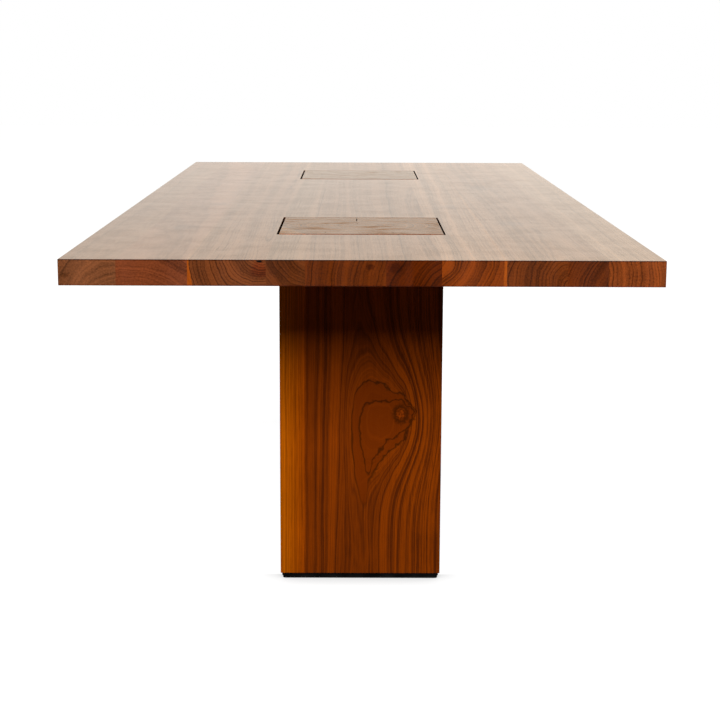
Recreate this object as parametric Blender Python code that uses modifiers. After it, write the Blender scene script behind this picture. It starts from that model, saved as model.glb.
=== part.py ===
"""A solid walnut dining table.

Ten staves are glued edge to edge into a top. Two square blocks of boxed heartwood
stand on the floor and pass right through cut-outs in the top, flush with its face,
so that their end grain shows. Steel angles under the top carry it on the blocks,
and each block stands on a black steel plate with a thin foot pad.

Metres, +Z up, +X to the right of someone who sits at the near end, +Y along the
table. The origin is on the floor, under the middle of the top.
"""

import math

import bmesh
import bpy
from mathutils import Euler, Matrix, Vector

# Overall sizes
TABLE_LENGTH = 2.600
TABLE_WIDTH = 1.100
TABLE_HEIGHT = 0.740
TOP_THICKNESS = 0.048

# Heartwood blocks that pass through the top
BLOCK_WIDTH = 0.340
BLOCK_DEPTH = 0.340
BLOCK_INSET = 0.400
BLOCK_SHIFT = 0.0025
CUTOUT_SHIFT = 0.0175
CUTOUT_CLEARANCE = 0.0045
BLOCK_ARRIS = 0.0012

# Fits
GLUE_GAP = 0.0003
SEAT_GAP = 0.0003
CUT_OVERRUN = 0.004
WELD_DISTANCE = 0.00001

# Eased edge round the outline of the top
TOP_ARRIS = 0.0010

# Glue lines between the staves, as shares of the stretch that each one lies in:
# left edge to cut-out, across the cut-out, and cut-out to right edge.
LEFT_GLUE_LINE_SHARES = (0.278, 0.622)
MIDDLE_GLUE_LINE_SHARES = (0.204, 0.624, 0.913)
RIGHT_GLUE_LINE_SHARES = (0.232, 0.526, 0.722)

# Steel angles under the top, one on each side of each block
ANGLE_LEG = 0.050
ANGLE_THICKNESS = 0.005
ANGLE_LENGTH = 0.240
ANGLE_ROOT_RADIUS = 0.005
ANGLE_TOE_RADIUS = 0.0025
ANGLE_HOLE_CLEARANCE = 0.0005
ANGLE_BLOCK_SCREW_SPACING = 0.190
ANGLE_TOP_SCREW_SPACING = 0.120
ANGLE_HOLE_FROM_HEEL = 0.030
SLOT_LENGTH = 0.016

# Pan head screws that hold the angles
PAN_SHANK_RADIUS = 0.0030
PAN_HEAD_RADIUS = 0.0065
PAN_HEAD_HEIGHT = 0.0038
PAN_RIM_SHARE = 0.35
PAN_SOCKET_RADIUS = 0.0022
PAN_SOCKET_DEPTH = 0.0022
TOP_SCREW_LENGTH = 0.038
BLOCK_SCREW_LENGTH = 0.050
SCREW_TIP_LENGTH = 0.006

# Black steel plate under each block, and its countersunk screws
PLATE_THICKNESS = 0.0055
PLATE_INSET = 0.0030
PLATE_CORNER_RADIUS = 0.0040
PLATE_SCREW_INSET = 0.058
COUNTERSUNK_HEAD_RADIUS = 0.0080
COUNTERSUNK_RIM = 0.0006
COUNTERSUNK_HEAD_HEIGHT = 0.0042
COUNTERSUNK_SHANK_RADIUS = 0.0040
COUNTERSUNK_SOCKET_RADIUS = 0.0028
COUNTERSUNK_SOCKET_DEPTH = 0.0026
COUNTERSUNK_LENGTH = 0.064
SCREW_HOLE_CLEARANCE = 0.0003

# Foot pad between the plate and the floor
PAD_THICKNESS = 0.0060
PAD_INSET = 0.0016
PAD_CORNER_RADIUS = 0.0060
PAD_CHAMFER = 0.0008

# Drying checks: open radial cracks in the end grain on top of the blocks. Each is
# the share of the block's half width and half depth where it starts and ends.
CHECK_DEPTH = 0.034
CHECK_FLOOR_SHARE = 0.25
WIDE_CHECK = 0.0028
FINE_CHECK = 0.0011
NEAR_WIDE_CHECK_SHARES = (
    ((-0.052, 0.955), (-0.060, 0.430)),
)
NEAR_FINE_CHECK_SHARES = (
    ((-0.058, 0.400), (-0.042, 0.100)),
    ((-0.060, -0.030), (-0.390, -0.390)),
    ((-0.010, -0.040), (0.190, -0.380)),
    ((-0.430, -0.620), (-0.450, -0.930)),
    ((0.380, -0.700), (0.400, -0.940)),
)
FAR_WIDE_CHECK_SHARES = (
    ((0.330, -0.130), (0.700, -0.190)),
)
FAR_FINE_CHECK_SHARES = (
    ((0.080, -0.060), (0.310, -0.120)),
    ((-0.060, 0.060), (-0.420, 0.330)),
    ((0.000, -0.120), (-0.090, -0.560)),
)

# Numbers of facets, and the angle past which an edge of a round piece is sharp
ROUND_STEPS = 16
ARRIS_STEPS = 2
CORNER_STEPS = 4
DOME_STEPS = 4
SOCKET_SIDES = 6
SHARP_ANGLE = math.radians(35)

# Worked-out places
TOP_UNDERSIDE = TABLE_HEIGHT - TOP_THICKNESS
PLATE_BOTTOM = PAD_THICKNESS + SEAT_GAP
BLOCK_BOTTOM = PLATE_BOTTOM + PLATE_THICKNESS + SEAT_GAP
BLOCK_CENTRE_Y = TABLE_LENGTH / 2 - BLOCK_INSET - BLOCK_DEPTH / 2
CUTOUT_HALF_WIDTH = BLOCK_WIDTH / 2 + CUTOUT_CLEARANCE
CUTOUT_HALF_DEPTH = BLOCK_DEPTH / 2 + CUTOUT_CLEARANCE

# Finishes: linear colour, roughness, metallic
WALNUT = ((0.24, 0.085, 0.032), 0.42, 0.0)
HEARTWOOD = ((0.26, 0.075, 0.022), 0.45, 0.0)
BLACK_STEEL = ((0.012, 0.012, 0.013), 0.50, 0.6)
ZINC_STEEL = ((0.55, 0.55, 0.56), 0.35, 1.0)
BLACK_RUBBER = ((0.010, 0.010, 0.010), 0.80, 0.0)
STAVE_TONE_SHARES = (0.92, 0.98, 0.86, 0.94, 1.00, 0.88, 1.12, 0.84, 0.94, 1.10)


def clear_scene():
    for item in list(bpy.data.objects):
        bpy.data.objects.remove(item, do_unlink=True)


def new_collection(name, parent):
    collection = bpy.data.collections.new(name)
    parent.children.link(collection)
    return collection


def finish(name, look, tone=1.0):
    """One material: base colour times a tone, roughness and metallic."""
    colour, roughness, metallic = look
    material = bpy.data.materials.new(name)
    material.use_nodes = True
    shader = material.node_tree.nodes["Principled BSDF"]
    shader.inputs["Base Color"].default_value = [c * tone for c in colour] + [1.0]
    shader.inputs["Roughness"].default_value = roughness
    shader.inputs["Metallic"].default_value = metallic
    return material


def add_object(name, mesh, collection, place, turn=(0.0, 0.0, 0.0)):
    item = bpy.data.objects.new(name, mesh)
    item.location = place
    item.rotation_euler = Euler(turn)
    collection.objects.link(item)
    return item


def box_mesh(name, size):
    """A box of the given size about its own centre."""
    bm = bmesh.new()
    bmesh.ops.create_cube(bm, size=1)
    bmesh.ops.scale(bm, vec=size, verts=bm.verts)
    mesh = bpy.data.meshes.new(name)
    bm.to_mesh(mesh)
    bm.free()
    return mesh


def box_between(name, low, high, collection):
    """A box that fills the space between two corners."""
    low = Vector(low)
    high = Vector(high)
    return add_object(name, box_mesh(name, high - low), collection, (low + high) / 2)


def ease_edges(item, width, steps, wanted):
    """Round the edges for which wanted(edge middle, its two faces' normals) is true."""
    bm = bmesh.new()
    bm.from_mesh(item.data)
    weight = bm.edges.layers.float.new("bevel_weight_edge")
    for edge in bm.edges:
        middle = (edge.verts[0].co + edge.verts[1].co) / 2
        normals = [face.normal for face in edge.link_faces]
        edge[weight] = 1.0 if wanted(middle, normals) else 0.0
    bm.to_mesh(item.data)
    bm.free()
    bevel = item.modifiers.new("eased_edges", "BEVEL")
    bevel.limit_method = "WEIGHT"
    bevel.width = width
    bevel.segments = steps


def every_edge(middle, normals):
    return True


def upright_edge(middle, normals):
    return all(abs(normal.z) < 0.5 for normal in normals)


def round_upright_edges(mesh, radius):
    bm = bmesh.new()
    bm.from_mesh(mesh)
    edges = [e for e in bm.edges if upright_edge(None, [face.normal for face in e.link_faces])]
    bmesh.ops.bevel(bm, geom=edges, offset=radius, segments=CORNER_STEPS, profile=0.5, affect="EDGES")
    bm.to_mesh(mesh)
    bm.free()


def chamfer_underside(mesh, width):
    """Cut the edges round the lower face of a box back at 45 degrees."""
    bm = bmesh.new()
    bm.from_mesh(mesh)
    lower = [face for face in bm.faces if face.normal.z < -0.5]
    edges = [edge for face in lower for edge in face.edges]
    bmesh.ops.bevel(bm, geom=edges, offset=width, segments=1, affect="EDGES")
    bm.to_mesh(mesh)
    bm.free()


def cut(item, cutters):
    """Take every cutter of one collection out of the item."""
    boolean = item.modifiers.new("cuts", "BOOLEAN")
    boolean.operation = "DIFFERENCE"
    boolean.solver = "EXACT"
    boolean.operand_type = "COLLECTION"
    boolean.collection = cutters


def as_cutter(item):
    item.hide_render = True
    item.display_type = "WIRE"
    return item


def turned_mesh(name, profile):
    """A closed round body; its profile of (radius, height) runs down the outside."""
    outline = bpy.data.meshes.new(name + "_profile")
    points = [(radius, 0.0, height) for radius, height in profile]
    outline.from_pydata(points, [(i, i + 1) for i in range(len(points) - 1)], [])
    blank = bpy.data.objects.new(name, outline)
    bpy.context.scene.collection.objects.link(blank)
    lathe = blank.modifiers.new("lathe", "SCREW")
    lathe.axis = "Z"
    lathe.angle = math.tau
    lathe.steps = ROUND_STEPS
    lathe.render_steps = ROUND_STEPS
    lathe.use_merge_vertices = True
    lathe.merge_threshold = WELD_DISTANCE
    evaluated = blank.evaluated_get(bpy.context.evaluated_depsgraph_get())
    mesh = bpy.data.meshes.new_from_object(evaluated)
    mesh.name = name
    bpy.data.objects.remove(blank)
    bpy.data.meshes.remove(outline)
    mesh.shade_smooth()
    mesh.set_sharp_from_angle(angle=SHARP_ANGLE)
    return mesh


def countersunk_profile(clearance, mouth):
    """Flat head at z = 0, shank down to the tip; grown by a clearance for its hole."""
    head = COUNTERSUNK_HEAD_RADIUS + clearance
    shank = COUNTERSUNK_SHANK_RADIUS + clearance
    taper_end = -(COUNTERSUNK_HEAD_HEIGHT + clearance)
    end = -(COUNTERSUNK_LENGTH + clearance)
    return [
        (0.0, mouth),
        (head, mouth),
        (head, -(COUNTERSUNK_RIM + clearance)),
        (shank, taper_end),
        (shank, end + SCREW_TIP_LENGTH),
        (0.0, end),
    ]


def pan_profile(length):
    """Domed head on z = 0 and up, shank below it."""
    rim = PAN_HEAD_HEIGHT * PAN_RIM_SHARE
    dome = []
    for step in range(DOME_STEPS):
        angle = math.pi / 2 * step / DOME_STEPS
        height = rim + (PAN_HEAD_HEIGHT - rim) * math.cos(angle)
        dome.append((PAN_HEAD_RADIUS * math.sin(angle), height))
    return dome + [
        (PAN_HEAD_RADIUS, rim),
        (PAN_HEAD_RADIUS, 0.0),
        (PAN_SHANK_RADIUS, 0.0),
        (PAN_SHANK_RADIUS, SCREW_TIP_LENGTH - length),
        (0.0, -length),
    ]


def shank_hole_profile(length):
    """The hole for a pan head screw's shank, open above z = 0."""
    radius = PAN_SHANK_RADIUS + SCREW_HOLE_CLEARANCE
    end = -(length + SCREW_HOLE_CLEARANCE)
    return [
        (0.0, CUT_OVERRUN),
        (radius, CUT_OVERRUN),
        (radius, end + SCREW_TIP_LENGTH),
        (0.0, end),
    ]


def socket_mesh(name, radius, depth):
    """A six-sided pit that starts one overrun above z = 0."""
    bm = bmesh.new()
    height = depth + CUT_OVERRUN
    bmesh.ops.create_cone(
        bm, cap_ends=True, segments=SOCKET_SIDES, radius1=radius, radius2=radius, depth=height
    )
    bmesh.ops.translate(bm, verts=bm.verts, vec=(0.0, 0.0, CUT_OVERRUN - height / 2))
    mesh = bpy.data.meshes.new(name)
    bm.to_mesh(mesh)
    bm.free()
    return mesh


def socketed_mesh(name, body, pit, pit_top, cutters):
    """A screw body with its socket cut, made once and shared by every such screw."""
    blank = add_object(name + "_blank", body, bpy.context.scene.collection, (0.0, 0.0, 0.0))
    tool = as_cutter(add_object(name + "_socket", pit, cutters, (0.0, 0.0, pit_top)))
    boolean = blank.modifiers.new("socket", "BOOLEAN")
    boolean.operation = "DIFFERENCE"
    boolean.solver = "EXACT"
    boolean.object = tool
    evaluated = blank.evaluated_get(bpy.context.evaluated_depsgraph_get())
    mesh = bpy.data.meshes.new_from_object(evaluated)
    mesh.name = name
    bpy.data.objects.remove(blank)
    bpy.data.objects.remove(tool)
    mesh.set_sharp_from_angle(angle=SHARP_ANGLE)
    return mesh


def stave_edges():
    """The eleven X places where the staves begin and end, from left to right."""
    left = -TABLE_WIDTH / 2
    right = TABLE_WIDTH / 2
    left_run = -CUTOUT_HALF_WIDTH - left
    right_run = right - CUTOUT_HALF_WIDTH
    edges = [left]
    edges += [left + left_run * share for share in LEFT_GLUE_LINE_SHARES]
    edges += [-CUTOUT_HALF_WIDTH]
    edges += [CUTOUT_HALF_WIDTH * (2 * share - 1) for share in MIDDLE_GLUE_LINE_SHARES]
    edges += [CUTOUT_HALF_WIDTH + right_run * share for share in RIGHT_GLUE_LINE_SHARES]
    edges += [right]
    return edges


def stave_lengths(number):
    """The (name ending, low Y, high Y) of each length that one stave is in."""
    end = TABLE_LENGTH / 2
    near = CUTOUT_SHIFT - BLOCK_CENTRE_Y
    far = CUTOUT_SHIFT + BLOCK_CENTRE_Y
    if number in (4, 5, 6):
        return [
            ("_near", -end, near - CUTOUT_HALF_DEPTH),
            ("_middle", near + CUTOUT_HALF_DEPTH, far - CUTOUT_HALF_DEPTH),
            ("_far", far + CUTOUT_HALF_DEPTH, end),
        ]
    return [("", -end, end)]


def make_staves(parts, cutters, top_screw_places, hole):
    """The glued top, stave by stave, cut round the blocks and drilled for the angles."""
    edges = stave_edges()
    for number in range(1, len(edges)):
        left = edges[number - 1]
        right = edges[number]
        low_x = left if number == 1 else left + GLUE_GAP / 2
        high_x = right if number == len(edges) - 1 else right - GLUE_GAP / 2
        material = finish("walnut_stave_%d" % number, WALNUT, STAVE_TONE_SHARES[number - 1])
        for ending, low_y, high_y in stave_lengths(number):
            name = "stave_%d%s" % (number, ending)
            low = (low_x, low_y, TOP_UNDERSIDE)
            high = (high_x, high_y, TABLE_HEIGHT)
            stave = box_between(name, low, high, parts)
            stave.data.materials.append(material)
            ease_outline(stave)
            own_cutters = new_collection("cutters_" + name, cutters)
            if number == 7:
                add_cutout_tools(own_cutters)
            for index, (x, y) in enumerate(top_screw_places):
                if low_x < x < high_x and low_y < y < high_y:
                    drill = add_object(
                        "%s_drill_%d" % (name, index),
                        hole,
                        own_cutters,
                        (x, y, TOP_UNDERSIDE),
                        (math.pi, 0.0, 0.0),
                    )
                    as_cutter(drill)
            if own_cutters.objects:
                cut(stave, own_cutters)


def ease_outline(stave):
    """Ease only the edges that lie on the outline of the whole top."""
    half_width = TABLE_WIDTH / 2 - GLUE_GAP
    half_length = TABLE_LENGTH / 2 - GLUE_GAP

    def shows(place, normal):
        if abs(normal.z) > 0.5:
            return True
        if abs(normal.x) > 0.5:
            return abs(place.x) > half_width
        return abs(place.y) > half_length

    def on_outline(middle, normals):
        place = middle + stave.location
        return all(shows(place, normal) for normal in normals)

    ease_edges(stave, TOP_ARRIS, ARRIS_STEPS, on_outline)


def add_cutout_tools(cutters):
    """The two square openings that the blocks pass through."""
    for name, side in (("near", -1), ("far", 1)):
        centre_y = side * BLOCK_CENTRE_Y + CUTOUT_SHIFT
        low = (
            -CUTOUT_HALF_WIDTH,
            centre_y - CUTOUT_HALF_DEPTH,
            TOP_UNDERSIDE - CUT_OVERRUN,
        )
        high = (
            CUTOUT_HALF_WIDTH,
            centre_y + CUTOUT_HALF_DEPTH,
            TABLE_HEIGHT + CUT_OVERRUN,
        )
        as_cutter(box_between("cutout_" + name, low, high, cutters))


def add_check(name, start, end, width, centre, cutters):
    """One drying check: a diamond-shaped wedge that narrows downwards."""
    half = Vector((BLOCK_WIDTH / 2, BLOCK_DEPTH / 2))
    first = Vector((start[0] * half.x, start[1] * half.y))
    last = Vector((end[0] * half.x, end[1] * half.y))
    run = last - first
    height = CHECK_DEPTH + CUT_OVERRUN
    bm = bmesh.new()
    bmesh.ops.create_cone(
        bm, cap_ends=True, segments=4, radius1=CHECK_FLOOR_SHARE, radius2=1, depth=height
    )
    bmesh.ops.scale(bm, vec=(run.length / 2, width / 2, 1), verts=bm.verts)
    mesh = bpy.data.meshes.new(name)
    bm.to_mesh(mesh)
    bm.free()
    middle = (first + last) / 2
    top = TABLE_HEIGHT + CUT_OVERRUN
    place = (centre.x + middle.x, centre.y + middle.y, top - height / 2)
    as_cutter(add_object(name, mesh, cutters, place, (0.0, 0.0, math.atan2(run.y, run.x))))


def block_centre(side):
    return Vector((0.0, side * BLOCK_CENTRE_Y + CUTOUT_SHIFT + BLOCK_SHIFT, 0.0))


def make_block(name, side, checks, parts, cutters, holes):
    """One boxed-heart block from the steel plate up to the face of the top."""
    centre = block_centre(side)
    low = centre + Vector((-BLOCK_WIDTH / 2, -BLOCK_DEPTH / 2, BLOCK_BOTTOM))
    high = centre + Vector((BLOCK_WIDTH / 2, BLOCK_DEPTH / 2, TABLE_HEIGHT))
    block = box_between(name, low, high, parts)
    block.data.materials.append(finish("walnut_" + name, HEARTWOOD))
    ease_edges(block, BLOCK_ARRIS, ARRIS_STEPS, every_edge)
    own_cutters = new_collection("cutters_" + name, cutters)
    for width, pairs in checks:
        for index, (start, end) in enumerate(pairs):
            tool = "%s_check_%d_%d" % (name, round(width / FINE_CHECK), index)
            add_check(tool, start, end, width, centre, own_cutters)
    for index, (place, turn, hole) in enumerate(holes):
        as_cutter(add_object("%s_drill_%d" % (name, index), hole, own_cutters, place, turn))
    cut(block, own_cutters)


def angle_outline():
    """Section of a rolled angle, heel at the origin, legs along +X and down -Z."""
    root = ANGLE_THICKNESS + ANGLE_ROOT_RADIUS
    toe = ANGLE_THICKNESS - ANGLE_TOE_RADIUS
    leg_end = ANGLE_LEG - ANGLE_TOE_RADIUS
    points = [(0.0, 0.0), (ANGLE_LEG, 0.0)]
    points += arc(leg_end, -toe, ANGLE_TOE_RADIUS, 0, -90)
    points += arc(root, -root, ANGLE_ROOT_RADIUS, 90, 180)
    points += arc(toe, -leg_end, ANGLE_TOE_RADIUS, 0, -90)
    points += [(0.0, -ANGLE_LEG)]
    return points


def arc(centre_x, centre_z, radius, start, end):
    """Points of an arc, angles in degrees."""
    points = []
    for step in range(CORNER_STEPS + 1):
        angle = math.radians(start + (end - start) * step / CORNER_STEPS)
        points.append((centre_x + radius * math.cos(angle), centre_z + radius * math.sin(angle)))
    return points


def angle_mesh(name):
    """The angle as an extruded outline, its length along Y about the origin."""
    curve = bpy.data.curves.new(name, "CURVE")
    curve.dimensions = "2D"
    curve.fill_mode = "BOTH"
    curve.extrude = ANGLE_LENGTH / 2
    spline = curve.splines.new("POLY")
    outline = angle_outline()
    spline.points.add(len(outline) - 1)
    for point, (x, z) in zip(spline.points, outline):
        point.co = (x, z, 0.0, 1.0)
    spline.use_cyclic_u = True
    upright = (math.pi / 2, 0.0, 0.0)
    blank = add_object(name, curve, bpy.context.scene.collection, (0.0, 0.0, 0.0), upright)
    evaluated = blank.evaluated_get(bpy.context.evaluated_depsgraph_get())
    mesh = bpy.data.meshes.new_from_object(evaluated)
    mesh.transform(blank.matrix_basis)
    bpy.data.objects.remove(blank)
    bm = bmesh.new()
    bm.from_mesh(mesh)
    bmesh.ops.remove_doubles(bm, verts=bm.verts, dist=WELD_DISTANCE)
    bmesh.ops.recalc_face_normals(bm, faces=bm.faces)
    bm.to_mesh(mesh)
    bm.free()
    mesh.name = name
    return mesh


def slot_mesh(name):
    """A slot cutter: a round cutter pulled apart along X, through one leg."""
    radius = PAN_SHANK_RADIUS + ANGLE_HOLE_CLEARANCE
    pull = SLOT_LENGTH / 2 - radius
    bm = bmesh.new()
    bmesh.ops.create_cone(
        bm,
        cap_ends=True,
        segments=ROUND_STEPS,
        radius1=radius,
        radius2=radius,
        depth=ANGLE_THICKNESS + 2 * CUT_OVERRUN,
        matrix=Matrix.Rotation(math.pi / ROUND_STEPS, 4, "Z"),
    )
    for vertex in bm.verts:
        vertex.co.x += math.copysign(pull, vertex.co.x)
    mesh = bpy.data.meshes.new(name)
    bm.to_mesh(mesh)
    bm.free()
    return mesh


def round_cutter_mesh(name, radius, depth):
    bm = bmesh.new()
    bmesh.ops.create_cone(
        bm, cap_ends=True, segments=ROUND_STEPS, radius1=radius, radius2=radius, depth=depth
    )
    mesh = bpy.data.meshes.new(name)
    bm.to_mesh(mesh)
    bm.free()
    return mesh


def make_angle(name, side_y, side_x, parts, cutters, meshes, steel, zinc):
    """One steel angle with its four screws, on an empty at its heel."""
    centre = block_centre(side_y)
    heel_x = side_x * (BLOCK_WIDTH / 2 + SEAT_GAP)
    heel_z = TOP_UNDERSIDE - SEAT_GAP
    heel = bpy.data.objects.new(name + "_heel", None)
    heel.location = (heel_x, centre.y, heel_z)
    if side_x < 0:
        heel.rotation_euler = Euler((0.0, 0.0, math.pi))
    parts.objects.link(heel)

    angle = add_object(name, meshes["angle"].copy(), parts, (0.0, 0.0, 0.0))
    angle.data.materials.append(steel)
    angle.parent = heel
    own_cutters = new_collection("cutters_" + name, cutters)
    middle_of_leg = -ANGLE_THICKNESS / 2
    for index, end in enumerate((-1, 1)):
        slot_y = end * ANGLE_TOP_SCREW_SPACING / 2
        slot_place = (ANGLE_HOLE_FROM_HEEL, slot_y, middle_of_leg)
        slot = add_object("%s_slot_%d" % (name, index), meshes["slot"], own_cutters, slot_place)
        hole_y = end * ANGLE_BLOCK_SCREW_SPACING / 2
        hole_place = (-middle_of_leg, hole_y, -ANGLE_HOLE_FROM_HEEL)
        hole = add_object(
            "%s_hole_%d" % (name, index),
            meshes["leg_hole"],
            own_cutters,
            hole_place,
            (0.0, math.pi / 2, 0.0),
        )
        for tool in (slot, hole):
            as_cutter(tool).parent = heel
        head_seat = ANGLE_THICKNESS + SEAT_GAP
        top_screw = add_object(
            "%s_top_screw_%d" % (name, index + 1),
            meshes["top_screw"].copy(),
            parts,
            (ANGLE_HOLE_FROM_HEEL, slot_y, -head_seat),
            (math.pi, 0.0, 0.0),
        )
        block_screw = add_object(
            "%s_block_screw_%d" % (name, index + 1),
            meshes["block_screw"].copy(),
            parts,
            (head_seat, hole_y, -ANGLE_HOLE_FROM_HEEL),
            (0.0, math.pi / 2, 0.0),
        )
        for screw in (top_screw, block_screw):
            screw.parent = heel
            screw.data.materials.append(zinc)
    cut(angle, own_cutters)


def angle_screw_places(spacing):
    """Y places of the screws along an angle, about the middle of its block."""
    return [-spacing / 2, spacing / 2]


def block_holes(side, meshes):
    """Place, turn and cutter of each screw hole in one block."""
    centre = block_centre(side)
    holes = []
    for x, y in plate_screw_places():
        place = (centre.x + x, centre.y + y, PLATE_BOTTOM)
        holes.append((place, (math.pi, 0.0, 0.0), meshes["plate_screw_hole"]))
    head_seat = SEAT_GAP + ANGLE_THICKNESS + SEAT_GAP
    for side_x in (-1, 1):
        for y in angle_screw_places(ANGLE_BLOCK_SCREW_SPACING):
            place = (
                side_x * (BLOCK_WIDTH / 2 + head_seat),
                centre.y + y,
                TOP_UNDERSIDE - SEAT_GAP - ANGLE_HOLE_FROM_HEEL,
            )
            holes.append((place, (0.0, side_x * math.pi / 2, 0.0), meshes["block_screw_hole"]))
    return holes


def top_screw_places():
    """X and Y of every screw that comes up into the top."""
    x = BLOCK_WIDTH / 2 + SEAT_GAP + ANGLE_HOLE_FROM_HEEL
    places = []
    for side_y in (-1, 1):
        for side_x in (-1, 1):
            for y in angle_screw_places(ANGLE_TOP_SCREW_SPACING):
                places.append((side_x * x, block_centre(side_y).y + y))
    return places


def plate_screw_places():
    """X and Y of the countersunk screws, about the middle of a plate."""
    x = BLOCK_WIDTH / 2 - PLATE_SCREW_INSET
    y = BLOCK_DEPTH / 2 - PLATE_SCREW_INSET
    return [(-x, -y), (x, -y), (-x, y), (x, y)]


def make_foot(name, side, parts, cutters, meshes, steel, zinc, rubber):
    """The steel plate under a block, its screws and the pad on the floor."""
    centre = block_centre(side)
    half_x = BLOCK_WIDTH / 2 - PLATE_INSET
    half_y = BLOCK_DEPTH / 2 - PLATE_INSET
    low = centre + Vector((-half_x, -half_y, PLATE_BOTTOM))
    high = centre + Vector((half_x, half_y, PLATE_BOTTOM + PLATE_THICKNESS))
    plate = box_between("base_plate_" + name, low, high, parts)
    plate.data.materials.append(steel)
    ease_edges(plate, PLATE_CORNER_RADIUS, CORNER_STEPS, upright_edge)
    own_cutters = new_collection("cutters_base_plate_" + name, cutters)
    for index, (x, y) in enumerate(plate_screw_places()):
        place = (centre.x + x, centre.y + y, PLATE_BOTTOM)
        turn = (math.pi, 0.0, 0.0)
        tool_name = "base_plate_%s_hole_%d" % (name, index + 1)
        hole = meshes["plate_screw_hole"]
        as_cutter(add_object(tool_name, hole, own_cutters, place, turn))
        screw_name = "base_plate_%s_screw_%d" % (name, index + 1)
        screw = add_object(screw_name, meshes["plate_screw"].copy(), parts, place, turn)
        screw.data.materials.append(zinc)
    cut(plate, own_cutters)

    half_x -= PAD_INSET
    half_y -= PAD_INSET
    low = centre + Vector((-half_x, -half_y, 0.0))
    high = centre + Vector((half_x, half_y, PAD_THICKNESS))
    pad = box_between("foot_pad_" + name, low, high, parts)
    pad.data.materials.append(rubber)
    round_upright_edges(pad.data, PAD_CORNER_RADIUS)
    chamfer_underside(pad.data, PAD_CHAMFER)


def shared_meshes(cutters):
    """Screws, angle and hole cutters that several pieces use."""
    meshes = {}
    meshes["plate_screw_hole"] = turned_mesh(
        "plate_screw_hole", countersunk_profile(SCREW_HOLE_CLEARANCE, CUT_OVERRUN)
    )
    meshes["plate_screw"] = socketed_mesh(
        "plate_screw",
        turned_mesh("plate_screw_body", countersunk_profile(0.0, 0.0)),
        socket_mesh("plate_screw_pit", COUNTERSUNK_SOCKET_RADIUS, COUNTERSUNK_SOCKET_DEPTH),
        0.0,
        cutters,
    )
    for name, length in (("top_screw", TOP_SCREW_LENGTH), ("block_screw", BLOCK_SCREW_LENGTH)):
        meshes[name + "_hole"] = turned_mesh(name + "_hole", shank_hole_profile(length))
        meshes[name] = socketed_mesh(
            name,
            turned_mesh(name + "_body", pan_profile(length)),
            socket_mesh(name + "_pit", PAN_SOCKET_RADIUS, PAN_SOCKET_DEPTH),
            PAN_HEAD_HEIGHT,
            cutters,
        )
    meshes["angle"] = angle_mesh("angle_bar")
    meshes["slot"] = slot_mesh("angle_slot")
    meshes["leg_hole"] = round_cutter_mesh(
        "angle_leg_hole", PAN_SHANK_RADIUS + ANGLE_HOLE_CLEARANCE, ANGLE_THICKNESS + 2 * CUT_OVERRUN
    )
    return meshes


def build_table():
    clear_scene()
    parts = new_collection("dining_table", bpy.context.scene.collection)
    cutters = new_collection("cutters", bpy.context.scene.collection)
    meshes = shared_meshes(cutters)
    steel = finish("black_powder_coated_steel", BLACK_STEEL)
    zinc = finish("zinc_plated_steel", ZINC_STEEL)
    rubber = finish("black_rubber", BLACK_RUBBER)
    checks = {
        "near": ((WIDE_CHECK, NEAR_WIDE_CHECK_SHARES), (FINE_CHECK, NEAR_FINE_CHECK_SHARES)),
        "far": ((WIDE_CHECK, FAR_WIDE_CHECK_SHARES), (FINE_CHECK, FAR_FINE_CHECK_SHARES)),
    }
    make_staves(parts, cutters, top_screw_places(), meshes["top_screw_hole"])
    for name, side in (("near", -1), ("far", 1)):
        holes = block_holes(side, meshes)
        make_block("pedestal_" + name, side, checks[name], parts, cutters, holes)
        for side_name, side_x in (("left", -1), ("right", 1)):
            angle_name = "angle_%s_%s" % (name, side_name)
            make_angle(angle_name, side, side_x, parts, cutters, meshes, steel, zinc)
        make_foot(name, side, parts, cutters, meshes, steel, zinc, rubber)


build_table()
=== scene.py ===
# %% [markdown]
# A solid walnut dining table, dressed for its portrait
#
# The table is two square pedestals of heavy timber that rise right through a thick top, so that
# their end grain lies flush in it. The top is ten staves glued side by side. Each pedestal stands
# on a black steel plate with a rubber pad, and steel angles hold it under the top.
# This script takes the finished frame of the table as it is, gives every surface its finish,
# and sets up the floor, the light and the camera.

# %% Load the frame
import math

import bmesh
import bpy
from mathutils import Matrix, Vector


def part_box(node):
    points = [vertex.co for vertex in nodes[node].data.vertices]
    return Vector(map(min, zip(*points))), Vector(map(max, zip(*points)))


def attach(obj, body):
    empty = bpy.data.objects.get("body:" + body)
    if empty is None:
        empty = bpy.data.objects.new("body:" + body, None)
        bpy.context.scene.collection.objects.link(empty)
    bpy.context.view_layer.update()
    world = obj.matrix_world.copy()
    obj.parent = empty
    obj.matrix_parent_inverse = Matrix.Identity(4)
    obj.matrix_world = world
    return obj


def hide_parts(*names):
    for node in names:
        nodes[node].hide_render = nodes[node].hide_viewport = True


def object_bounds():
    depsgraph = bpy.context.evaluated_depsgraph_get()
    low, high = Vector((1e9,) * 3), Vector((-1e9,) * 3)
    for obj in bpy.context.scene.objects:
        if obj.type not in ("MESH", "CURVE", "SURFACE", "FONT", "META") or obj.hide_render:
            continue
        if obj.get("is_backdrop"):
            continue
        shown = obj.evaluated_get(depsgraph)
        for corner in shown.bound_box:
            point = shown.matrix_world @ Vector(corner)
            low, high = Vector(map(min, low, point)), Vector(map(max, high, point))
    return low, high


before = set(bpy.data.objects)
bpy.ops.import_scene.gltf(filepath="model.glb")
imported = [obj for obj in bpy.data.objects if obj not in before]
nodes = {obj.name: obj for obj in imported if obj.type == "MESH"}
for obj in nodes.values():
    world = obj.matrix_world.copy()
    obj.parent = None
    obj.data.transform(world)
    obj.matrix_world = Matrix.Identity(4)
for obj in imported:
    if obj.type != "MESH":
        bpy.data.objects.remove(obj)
cad_low, cad_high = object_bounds()
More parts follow.
